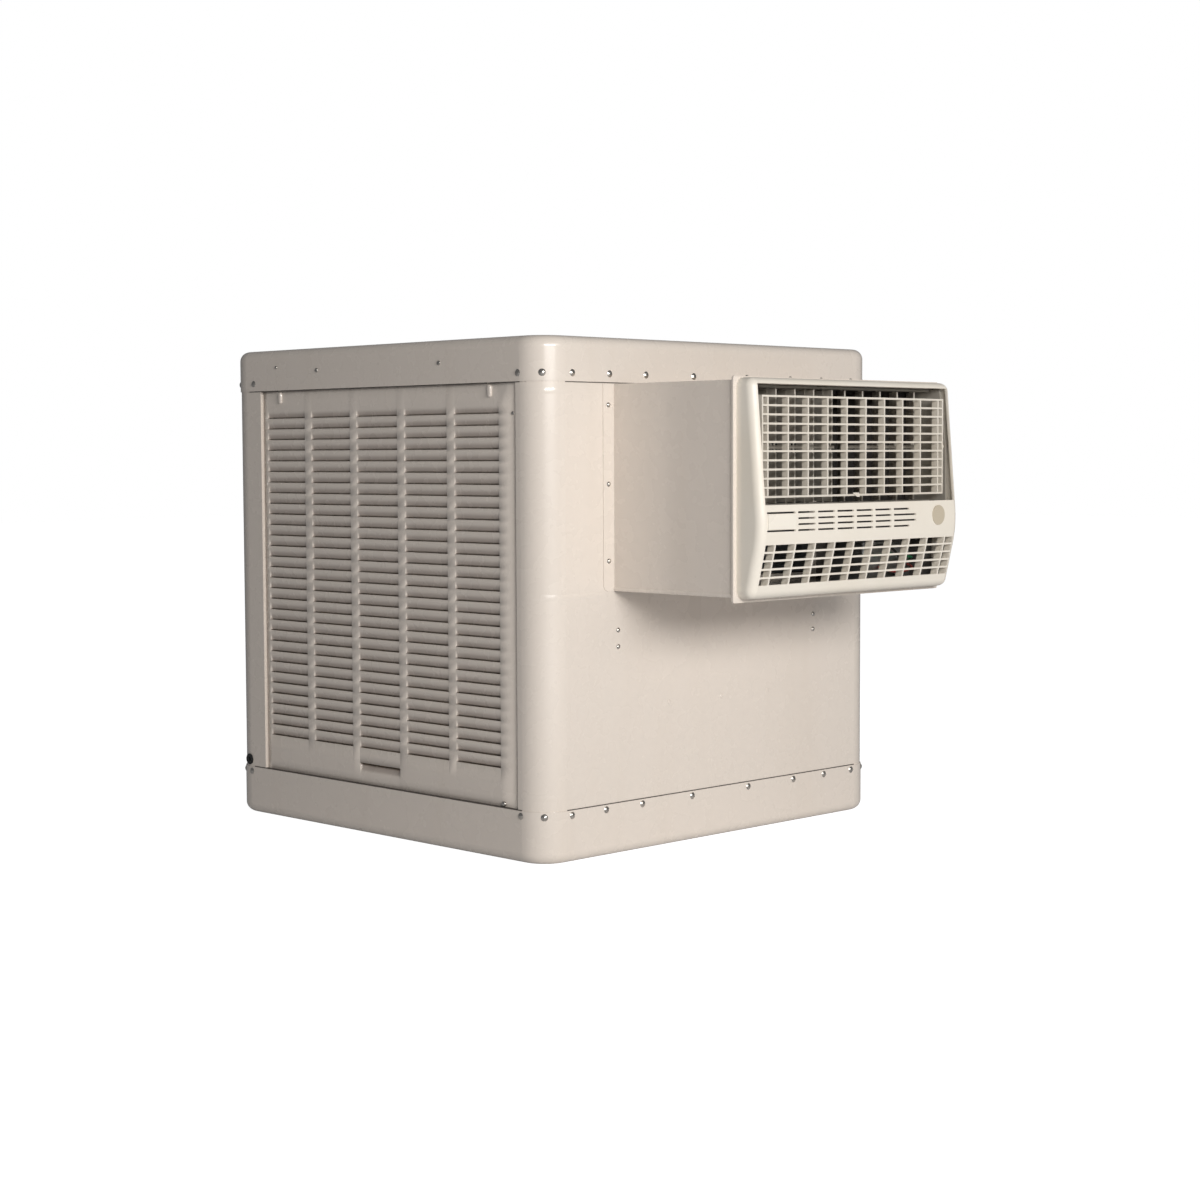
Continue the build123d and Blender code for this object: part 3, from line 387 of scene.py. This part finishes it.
def own_materials():
    """Materials of the nodes unlike the rest of their slot: the duct with painted shade inside, the
    badge, a cassette a little darker than the bezel, and painted shade as darker copies of the
    grille plastic on the links, vanes and carrier behind the bezel.
    """
    # painted shade: the links, vanes and carrier get darker copies of the grille plastic for the
    # shade behind the bezel
    link = moulded("link_plastic_shaded", tuple(c * 0.50 for c in GRILLE))
    vane = moulded("vane_plastic_shaded", tuple(c * 0.62 for c in GRILLE))
    own = {"discharge_duct": duct_enamel("duct_enamel", PAINT),
           "badge": moulded("badge_plastic", (0.56, 0.49, 0.38), 0.3, 300.0),
           "louvre_cassette": moulded("cassette_plastic", tuple(c * 0.86 for c in GRILLE)),
           "vane_carrier": moulded("carrier_plastic_shaded", tuple(c * 0.42 for c in GRILLE)),
           "vane_link_left": link, "vane_link_right": link}
    own.update({name: vane for name in nodes if name.startswith("vane_") and name[5:].isdigit()})
    return own


def dress_nodes():
    """Gives every CAD node its slot's material, or its own."""
    own = own_materials()
    for row in frame["record"]["subparts"]:
        node = nodes[row["node"]]
        node.data.materials.clear()
        node.data.materials.append(own.get(row["node"], materials[row["material_slot"]]))


# ======== mesh tools ========

def body_of(node):
    bodies = frame["record"]["behaviour"]["bodies"]
    return next(name for name, members in bodies.items() if node in members)


class Shape:
    """Vertices and faces of one piece, gathered from several closed forms."""

    def __init__(self):
        self.verts = []
        self.faces = []

    def add(self, verts, faces):
        start = len(self.verts)
        self.verts += [tuple(v) for v in verts]
        self.faces += [[start + i for i in face] for face in faces]

    def loft(self, rings):
        """Joins rings of points into a skin, with an end face on each end."""
        count = len(rings[0])
        faces = []
        for k in range(len(rings) - 1):
            near, far = k * count, (k + 1) * count
            for i in range(count):
                n = (i + 1) % count
                faces.append([near + i, near + n, far + n, far + i])
        faces.append(list(range(count))[::-1])
        faces.append([(len(rings) - 1) * count + i for i in range(count)])
        self.add([p for ring in rings for p in ring], faces)

    def tube(self, path, radius, sides=8, squeeze=1.0):
        """A round bar along a path, or a flattened one where squeeze is under 1."""
        path = [Vector(p) for p in path]
        rings = []
        side = None
        for k, point in enumerate(path):
            along = path[min(k + 1, len(path) - 1)] - path[max(k - 1, 0)]
            along.normalize()
            if side is None:
                side = along.orthogonal().normalized()
            side = (side - along * side.dot(along)).normalized()
            over = along.cross(side)
            rings.append([point + side * math.cos(a) * radius + over * math.sin(a) * radius * squeeze
                          for a in (2 * math.pi * i / sides for i in range(sides))])
        self.loft(rings)

    def dome(self, place, normal, upright, half_width, half_height, proud, sunk=0.0006):
        """A rounded pill or button that stands on a face."""
        place, normal, upright = Vector(place), Vector(normal), Vector(upright)
        sideways = upright.cross(normal)
        core = min(half_width, half_height)
        sides = 20
        rings = []
        for share, rise in ((1.0, -sunk), (1.0, proud * 0.25), (0.93, proud * 0.6),
                            (0.76, proud * 0.87), (0.45, proud * 0.98), (0.06, proud)):
            ring = []
            for i in range(sides):
                a = 2 * math.pi * i / sides
                u = math.copysign(half_width - core, math.cos(a)) + math.cos(a) * core * share
                v = math.copysign(half_height - core, math.sin(a)) + math.sin(a) * core * share
                ring.append(place + sideways * u + upright * v + normal * rise)
            rings.append(ring)
        self.loft(rings)

    def slab(self, low, high, shear=lambda point: point):
        """A box with its corners passed through a function."""
        points = [shear(Vector((x, y, z))) for z in (low[2], high[2])
                  for x, y in ((low[0], low[1]), (high[0], low[1]), (high[0], high[1]),
                               (low[0], high[1]))]
        self.loft([points[:4], points[4:]])

    def piece(self, name, slot, body, replaces=(), material=None, crease=35):
        mesh = bpy.data.meshes.new(name)
        mesh.from_pydata(self.verts, [], self.faces)
        work = bmesh.new()
        work.from_mesh(mesh)
        bmesh.ops.remove_doubles(work, verts=work.verts, dist=1e-6)
        bmesh.ops.recalc_face_normals(work, faces=work.faces)
        work.to_mesh(mesh)
        work.free()
        mesh.materials.append(material or materials[slot])
        mesh.shade_smooth()
        mesh.set_sharp_from_angle(angle=math.radians(crease))
        made = bpy.data.objects.new(name, mesh)
        bpy.context.scene.collection.objects.link(made)
        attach(made, body)
        if replaces:
            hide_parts(*replaces)
        return made


# ======== louvred panels ========

LOUVRE_ROWS = 31
LOUVRE_COLUMNS = 5
LOUVRE_PITCH = 16.28 * MM
LOUVRE_COLUMN_PITCH = 109.2 * MM
LOUVRE_TOP = 627.0 * MM
LOUVRE_LENGTH = 94.0 * MM
LOUVRE_HEIGHT = 11.6 * MM
LOUVRE_DROP = 11.4 * MM
LOUVRE_DEPTH = 3.8 * MM
LOUVRE_CURVE = 1.05
LOUVRE_END = 0.035
PULL_TOP = 104.6 * MM
PULL_BOTTOM = 89.0 * MM
PULL_DEPTH = 6.0 * MM
PULL_GAP = 2.6 * MM
SKIN = 1.0 * MM
CLIP_PLACES = (-248.0 * MM, 231.0 * MM)
CLIP_NOTCH = 6.0 * MM
PRESS_STEPS = 5
END_SHARES = (0, .006, .013, .022, .035, .2, .5, .8, .965, .978, .987, .994, 1)


def end_ease(share):
    """0 at a louvre's ends and 1 along its middle, with a rounded shoulder."""
    edge = min(share, 1 - share) / LOUVRE_END
    return 1.0 if edge >= 1 else math.sin(edge * math.pi / 2) ** 0.8


class Panel:
    """One pressed sheet: points are (along, up, inwards), with a folded rim round it."""

    def __init__(self, low, high, bottom, top):
        self.points, self.faces, self.index = [], [], {}
        self.columns = []
        for column in range(LOUVRE_COLUMNS):
            middle = (column - (LOUVRE_COLUMNS - 1) / 2) * LOUVRE_COLUMN_PITCH
            start = middle - LOUVRE_LENGTH / 2
            self.columns.append([start + share * LOUVRE_LENGTH for share in END_SHARES])
        fold = 3.6 * MM
        self.flats(low + fold, high - fold, bottom + fold, top - fold)
        for row in range(LOUVRE_ROWS):
            for column in self.columns:
                self.louvre(column, LOUVRE_TOP - row * LOUVRE_PITCH)
        self.finger_pull(self.columns[LOUVRE_COLUMNS // 2])
        self.rim(low, high, bottom, top, fold)

    def point(self, *place):
        key = tuple(round(v, 7) for v in place)
        if key not in self.index:
            self.index[key] = len(self.points)
            self.points.append(key)
        return self.index[key]

    def flats(self, low, high, bottom, top):
        """The plain sheet, with holes where the louvres and the finger pull go."""
        across = [low] + [u for column in self.columns for u in column] + [high]
        levels = [top]
        for row in range(LOUVRE_ROWS):
            level = LOUVRE_TOP - row * LOUVRE_PITCH
            levels += [level, level - LOUVRE_HEIGHT]
        levels += [PULL_TOP, PULL_BOTTOM, bottom]
        steps = len(END_SHARES)
        for i in range(len(across) - 1):
            column, share = divmod(i - 1, steps)
            pressed = i > 0 and share < steps - 1 and column < LOUVRE_COLUMNS
            for j in range(len(levels) - 1):
                louvre_row = j % 2 == 1 and j < 2 * LOUVRE_ROWS
                pull_row = levels[j] == PULL_TOP and column == LOUVRE_COLUMNS // 2
                if pressed and (louvre_row or pull_row):
                    continue
                self.faces.append([self.point(across[i], levels[j], 0),
                                   self.point(across[i + 1], levels[j], 0),
                                   self.point(across[i + 1], levels[j + 1], 0),
                                   self.point(across[i], levels[j + 1], 0)])

    def strips(self, lines):
        for near, far in zip(lines, lines[1:]):
            for k in range(len(near) - 1):
                self.faces.append([near[k], far[k], far[k + 1], near[k + 1]])

    def louvre(self, column, level):
        """Sheet pressed inwards below level, deepest at the slit."""
        lines = []
        for u, share in zip(column, END_SHARES):
            ease = end_ease(share)
            lip = LOUVRE_HEIGHT - (LOUVRE_HEIGHT - LOUVRE_DROP) * ease
            lines.append([self.point(u, level - lip * s / PRESS_STEPS,
                                     LOUVRE_DEPTH * ease * (s / PRESS_STEPS) ** LOUVRE_CURVE)
                          for s in range(PRESS_STEPS + 1)])
        self.strips(lines)

    def finger_pull(self, column):
        """A slit with the sheet below it pressed in, for the fingers."""
        lines = []
        for u, share in zip(column, END_SHARES):
            ease = end_ease(share)
            top = PULL_TOP - PULL_GAP * ease
            lines.append([self.point(u, top + (PULL_BOTTOM - top) * s / PRESS_STEPS,
                                     PULL_DEPTH * ease * (1 - s / PRESS_STEPS) ** 1.3)
                          for s in range(PRESS_STEPS + 1)])
        self.strips(lines)

    def rim(self, low, high, bottom, top, fold):
        depth = 13.0 * MM
        loops = []
        for inset, inwards in ((fold, 0), (fold * 0.3, fold * 0.3), (0, fold), (0, depth)):
            loops.append([(low + inset, top - inset, inwards), (high - inset, top - inset, inwards),
                          (high - inset, bottom + inset, inwards),
                          (low + inset, bottom + inset, inwards)])
        for near, far in zip(loops, loops[1:]):
            for k in range(4):
                n = (k + 1) % 4
                self.faces.append([self.point(*near[k]), self.point(*near[n]),
                                   self.point(*far[n]), self.point(*far[k])])


def pressed_panel(name, to_world, low, high, bottom, top):
    panel = Panel(low, high, bottom, top)
    shape = Shape()
    shape.add([to_world(*p) for p in panel.points], panel.faces)
    piece = shape.piece(name + "_pressed", "cabinet_paint", body_of(name), (name,),
                        material=louvred_paint, crease=50)
    # painted shade: each vertex gets its pressed depth as a share of the louvre depth, which the
    # louvred enamel turns into darker paint
    louvre_shade = piece.data.attributes.new("louvre_shade", "FLOAT", "POINT")
    first, last = panel.columns[0][0], panel.columns[-1][-1]
    pressed = {tuple(round(v, 6) for v in to_world(*p)): p[2] for p in panel.points
               if first <= p[0] <= last}
    for vertex, value in zip(piece.data.vertices, louvre_shade.data):
        depth = pressed.get(tuple(round(v, 6) for v in vertex.co), 0.0)
        value.value = min(1.0, depth / LOUVRE_DEPTH)
    thicken = piece.modifiers.new("thickness", "SOLIDIFY")
    thicken.thickness = SKIN
    thicken.offset = -1


def make_panels():
    for side, name in ((-1, "louvre_panel_left"), (1, "louvre_panel_right")):
        low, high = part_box(name)
        face = max(abs(low.x), abs(high.x))
        pressed_panel(name, lambda u, z, d: (side * (face - d), u, z), low.y, high.y,
                      low.z, high.z)
        clips = Shape()
        for along in CLIP_PLACES:
            clips.dome((side * face, along, 647 * MM), (side, 0, 0), (0, 0, 1), 4.2 * MM, 9 * MM,
                       3.2 * MM)
        clips.piece(name + "_clips", "cabinet_paint", body_of(name))
        stud = Shape()
        stud.dome((side * face, -294.5 * MM, 615.5 * MM), (side, 0, 0), (0, 0, 1), 2.6 * MM,
                  2.6 * MM, 1.4 * MM)
        stud.dome((side * face, -272 * MM, 78 * MM), (side, 0, 0), (0, 0, 1), 4.2 * MM, 3.6 * MM,
                  3.0 * MM)
        stud.piece(name + "_stud", "rivet_steel", body_of(name))
    low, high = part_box("louvre_panel_rear")
    pressed_panel("louvre_panel_rear", lambda u, z, d: (u, high.y - d, z), low.x, high.x,
                  low.z, high.z)


# ======== cabinet details ========

WALL_SIDE = 354.0 * MM
WALL_FRONT = 356.0 * MM
WALL_CORNER = 43.5 * MM


def make_beads():
    """Shallow stiffening beads pressed round both front corners."""
    beads = Shape()
    middle_x, middle_y = WALL_SIDE - WALL_CORNER, WALL_FRONT - WALL_CORNER
    turns = 14
    for side in (-1, 1):
        for level, end, proud in ((644.5, 243, 0.22), (365, 243, 0.4), (91.5, 290, 0.22)):
            path = [(WALL_SIDE, 304.5 * MM, 1, 0)]
            for k in range(turns + 1):
                a = math.pi / 2 * k / turns
                path.append((middle_x + WALL_CORNER * math.cos(a),
                             middle_y + WALL_CORNER * math.sin(a), math.cos(a), math.sin(a)))
            for share in (0.3, 0.6, 0.9, 1.0):
                path.append((middle_x + (end * MM - middle_x) * share, WALL_FRONT, 0, 1))
            rings = []
            for k, (x, y, out_x, out_y) in enumerate(path):
                fade = 0.15 if k in (0, len(path) - 1) else 1.0
                ring = []
                for up, out in ((-4.2, -0.5), (-4.2, 0.02), (-2.0, 0.6), (0, 1.0), (2.0, 0.6),
                                (4.2, 0.02), (4.2, -0.5)):
                    off = out * fade * proud * MM if out > 0 else out * MM
                    ring.append((side * (x + out_x * off), -(y + out_y * off),
                                 (level + up) * MM))
                rings.append(ring)
            beads.loft(rings)
    beads.piece("corner_beads", "cabinet_paint", "cabinet", crease=80)


def make_seams():
    """Dark strips in the joints of the two pans, painted shadow standing in for the shade in those
    gaps, notched under the lid for the panels' clips.
    """
    seams = Shape()
    lid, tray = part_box("top_pan")[0].z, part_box("bottom_pan")[1].z
    straight = WALL_FRONT - WALL_CORNER
    ends = [-straight] + [clip + gap for clip in CLIP_PLACES
                          for gap in (-CLIP_NOTCH, CLIP_NOTCH)] + [305 * MM]
    for level, spans in ((lid - 1.3 * MM, list(zip(ends[::2], ends[1::2]))),
                         (tray, [(ends[0], ends[-1])])):
        seams.slab((-WALL_SIDE + WALL_CORNER, -WALL_FRONT - 0.5 * MM, level),
                   (WALL_SIDE - WALL_CORNER, -WALL_FRONT + 1 * MM, level + 1.3 * MM))
        for side in (-1, 1):
            near, far = sorted((side * (WALL_SIDE + 0.5 * MM), side * (WALL_SIDE - 4 * MM)))
            for start, end in spans:
                seams.slab((near, start, level), (far, end, level + 1.3 * MM))
    # painted shadow: near-black strips under the lid and along the bottom pan stand in for the shade
    # in those gaps
    seams.piece("seam_shadow_strip", "grommet_rubber", "cabinet", material=soft_rubber(
        "seam_shadow_strip", (0.10, 0.085, 0.075)))


def make_marks():
    """Small screws on the lid and shallow spot-weld marks on the front wall."""
    screws = Shape()
    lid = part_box("top_pan")[1].x
    for side in (-1, 1):
        for along, level, size in ((234, 693, 2.4), (133, 686, 3.4), (-147, 688, 3.4)):
            screws.dome((side * lid, along * MM, level * MM), (side, 0, 0), (0, 0, 1),
                        size * MM, size * MM, 1.6 * MM)
    screws.piece("lid_screws", "rivet_steel", "cabinet")
    dimples = Shape()
    for across in (-108, 3, 105):
        dimples.dome((across * MM, -WALL_FRONT, 206 * MM), (0, -1, 0), (0, 0, 1), 3.2 * MM,
                     3.2 * MM, 0.8 * MM)
    dimples.piece("wall_dimples", "cabinet_paint", "cabinet")


def make_duct_hem():
    """Folded hem along the duct's lower side edges."""
    low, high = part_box("discharge_duct")
    front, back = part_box("window_flange")[1].y, -WALL_FRONT - 1.5 * MM
    half = 219.0 * MM
    hem = Shape()
    for side in (-1, 1):
        rings = []
        for y in (front, back):
            rings.append([(side * (half + out * MM), y, low.z + up * MM)
                          for out, up in ((-0.6, 0.1), (0.5, 0.1), (1.0, 1.0), (1.0, 4.6),
                                          (0.5, 5.4), (-0.6, 5.4))])
        hem.loft(rings)
    hem.piece("duct_hem", "cabinet_paint", "cabinet")


# ======== grille details ========

def make_lower_fins():
    """Deep crossed fins behind the lower openings of the bezel."""
    fins = Shape()
    bars, rows = 10, 5
    half, pitch = 205.0 * MM, 41.0 * MM
    bottom, top = 385.0 * MM, 441.0 * MM
    step = (top - bottom) / rows
    depth = 9.0 * MM

    def inner_face(level):
        """How far forward the back of the bezel's wall is at a level."""
        return -(604.0 * MM + (level - 368.0 * MM) * 21 / 87) + 2.9 * MM

    def lean(point):
        return Vector((point.x, inner_face(point.z) + point.y, point.z))

    uprights = [(k - (bars - 1) / 2) * pitch for k in range(bars)]
    for x in [-half] + uprights + [half]:
        fins.slab((x - 0.9 * MM, 0, bottom - 1.5 * MM), (x + 0.9 * MM, depth, top + 1.5 * MM), lean)
    for k in range(rows + 1):
        z = bottom + k * step
        fins.slab((-half - 1 * MM, 0, z - 0.8 * MM), (half + 1 * MM, depth - 1 * MM, z + 0.8 * MM),
                  lean)
    fins.piece("lower_fins", "grille_plastic", "cabinet")


def make_cassette_tab():
    """Small finger tab under the middle of the tilting cassette."""
    low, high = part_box("louvre_cassette")
    front = low.y
    tab = Shape()
    rings = []
    for share in (0, 0.35, 0.7, 1.0):
        half = (6.5 - 3.5 * share) * MM
        out = front - (0.3 + 3.2 * share) * MM
        level = low.z + (3.6 - 4.2 * share) * MM
        rings.append([(-half, out, level - 0.7 * MM), (half, out, level - 0.7 * MM),
                      (half, out + 1.2 * MM, level + 0.9 * MM),
                      (-half, out + 1.2 * MM, level + 0.9 * MM)])
    tab.loft(rings)
    tab.piece("cassette_tab", "grille_plastic", "cassette")


def make_leads():
    """Insulated leads that loop in front of the control box, behind the lower openings."""
    routes = {
        "lead_green": ((0.02, 0.22, 0.09), ((118, -546, 412), (122, -560, 417), (140, -568, 415),
                                            (166, -569, 411), (188, -563, 409), (197, -546, 404))),
        "lead_red": ((0.45, 0.03, 0.02), ((128, -546, 396), (134, -558, 391), (152, -565, 389),
                                          (178, -566, 392), (192, -558, 396), (196, -546, 398))),
        "lead_dark": ((0.02, 0.02, 0.02), ((104, -546, 424), (108, -562, 430), (128, -571, 426),
                                           (150, -572, 404), (160, -563, 388), (164, -546, 384))),
    }
    for name, (colour, route) in routes.items():
        curve = bpy.data.curves.new(name + "_route", "CURVE")
        curve.dimensions = "3D"
        spline = curve.splines.new("NURBS")
        spline.points.add(len(route) - 1)
        for point, place in zip(spline.points, route):
            point.co = (*(v * MM for v in place), 1)
        spline.order_u = 3
        spline.use_endpoint_u = True
        holder = bpy.data.objects.new(name + "_route", curve)
        bpy.context.scene.collection.objects.link(holder)
        line = bpy.data.meshes.new_from_object(holder)
        path = [v.co.copy() for v in line.vertices]
        bpy.data.objects.remove(holder)
        bpy.data.curves.remove(curve)
        bpy.data.meshes.remove(line)
        lead = Shape()
        lead.tube(path, 1.7 * MM)
        lead.piece(name, "fitting_plastic", "cabinet", material=moulded(name, colour, 0.35, 500.0))


# ======== wet pads ========

def wool_height(u, v, seed):
    """Lumpiness of a wood-wool face, 0 to 1."""
    coarse = noise.noise(Vector((u * 26, v * 26, seed)))
    fine = noise.noise(Vector((u * 75, v * 75, seed + 9)))
    return min(1.0, max(0.0, 0.5 + 0.38 * coarse + 0.24 * fine))


def make_pad(name, to_world, low, high, bottom, top, thick, seed):
    """A crowned mat of wood wool with loose curls on both faces and wire retainers."""
    body = body_of(name)
    across, up = 64, 62
    round_edge = 12.0 * MM
    lump = 2.6 * MM

    def surface(u, v, face):
        edge = min(u - low, high - u, v - bottom, top - v)
        fall = 0.0
        if edge < round_edge:
            fall = (1 - math.sqrt(max(0.0, 1 - (1 - edge / round_edge) ** 2))) * thick * 0.36
        dip = fall + (1 - wool_height(u, v, seed + 20 * face)) * lump
        return dip if face == 0 else thick - dip

    mat = Shape()
    grids = []
    for face in (0, 1):
        grids.append([[(low + (high - low) * i / across, bottom + (top - bottom) * j / up)
                       for i in range(across + 1)] for j in range(up + 1)])
    verts, faces = [], []
    row = across + 1
    for face in (0, 1):
        for line in grids[face]:
            verts += [to_world(u, v, surface(u, v, face)) for u, v in line]
    back = row * (up + 1)
    for j in range(up):
        for i in range(across):
            a = j * row + i
            faces.append([a, a + 1, a + row + 1, a + row])
            faces.append([back + a, back + a + row, back + a + row + 1, back + a + 1])
    border = (list(range(across)) + [j * row + across for j in range(up)]
              + [up * row + i for i in range(across, 0, -1)] + [j * row for j in range(up, 0, -1)])
    for k, a in enumerate(border):
        b = border[(k + 1) % len(border)]
        faces.append([a, back + a, back + b, b])
    mat.add(verts, faces)
    wool = mat.piece(name + "_wool", "aspen_pad", body, (name,), crease=80)

    rng = random.Random(seed)
    curls = Shape()
    for _ in range(420):
        face = rng.randrange(2)
        u, v = rng.uniform(low + 14 * MM, high - 14 * MM), rng.uniform(bottom + 14 * MM,
                                                                        top - 14 * MM)
        heading = rng.uniform(0, math.pi)
        length = rng.uniform(30, 110) * MM
        wave, pace = rng.uniform(1.5, 6) * MM, rng.uniform(60, 160)
        path = []
        for k in range(9):
            s = length * k / 8
            sway = wave * math.sin(pace * s)
            pu = u + s * math.cos(heading) - sway * math.sin(heading)
            pv = v + s * math.sin(heading) + sway * math.cos(heading)
            if not (low + 6 * MM < pu < high - 6 * MM and bottom + 6 * MM < pv < top - 6 * MM):
                break
            lift = 0.25 * MM * math.sin(3.1 * k)
            level = surface(pu, pv, face)
            level += lift - 0.2 * MM if face == 0 else 0.2 * MM - lift
            path.append(to_world(pu, pv, min(thick, max(0.0, level))))
        if len(path) > 3:
            curls.tube(path, rng.uniform(0.5, 1.1) * MM, 4, squeeze=0.45)
    curls.piece(name + "_curls", "aspen_pad", body)

    wires = Shape()
    for share in (0.2, 0.5, 0.8):
        level = bottom + (top - bottom) * share
        path = [to_world(low + (high - low) * k / 12, level, thick + 0.6 * MM) for k in range(13)]
        wires.tube(path, 1.3 * MM)
    for share in (0.12, 0.88):
        along = low + (high - low) * share
        path = [to_world(along, bottom + (top - bottom) * k / 12, thick + 2.6 * MM)
                for k in range(13)]
        wires.tube(path, 1.3 * MM)
    wires.piece(name + "_retainer", "galvanised", body)


def make_pads():
    for side, name, seed in ((-1, "pad_left", 3), (1, "pad_right", 5)):
        low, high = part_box(name)
        outer = max(abs(low.x), abs(high.x))
        make_pad(name, lambda u, v, d: (side * (outer - d), u, v), low.y, high.y, low.z, high.z,
                 high.x - low.x, seed)
    low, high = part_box("pad_rear")
    make_pad("pad_rear", lambda u, v, d: (u, high.y - d, v), low.x, high.x, low.z, high.z,
             high.y - low.y, 7)


bpy.context.scene.view_settings.view_transform = "Standard"
make_camera()
make_floor()
make_world()
make_lights()
dress_nodes()
make_panels()
make_beads()
make_seams()
make_marks()
make_duct_hem()
make_lower_fins()
make_cassette_tab()
make_leads()
make_pads()
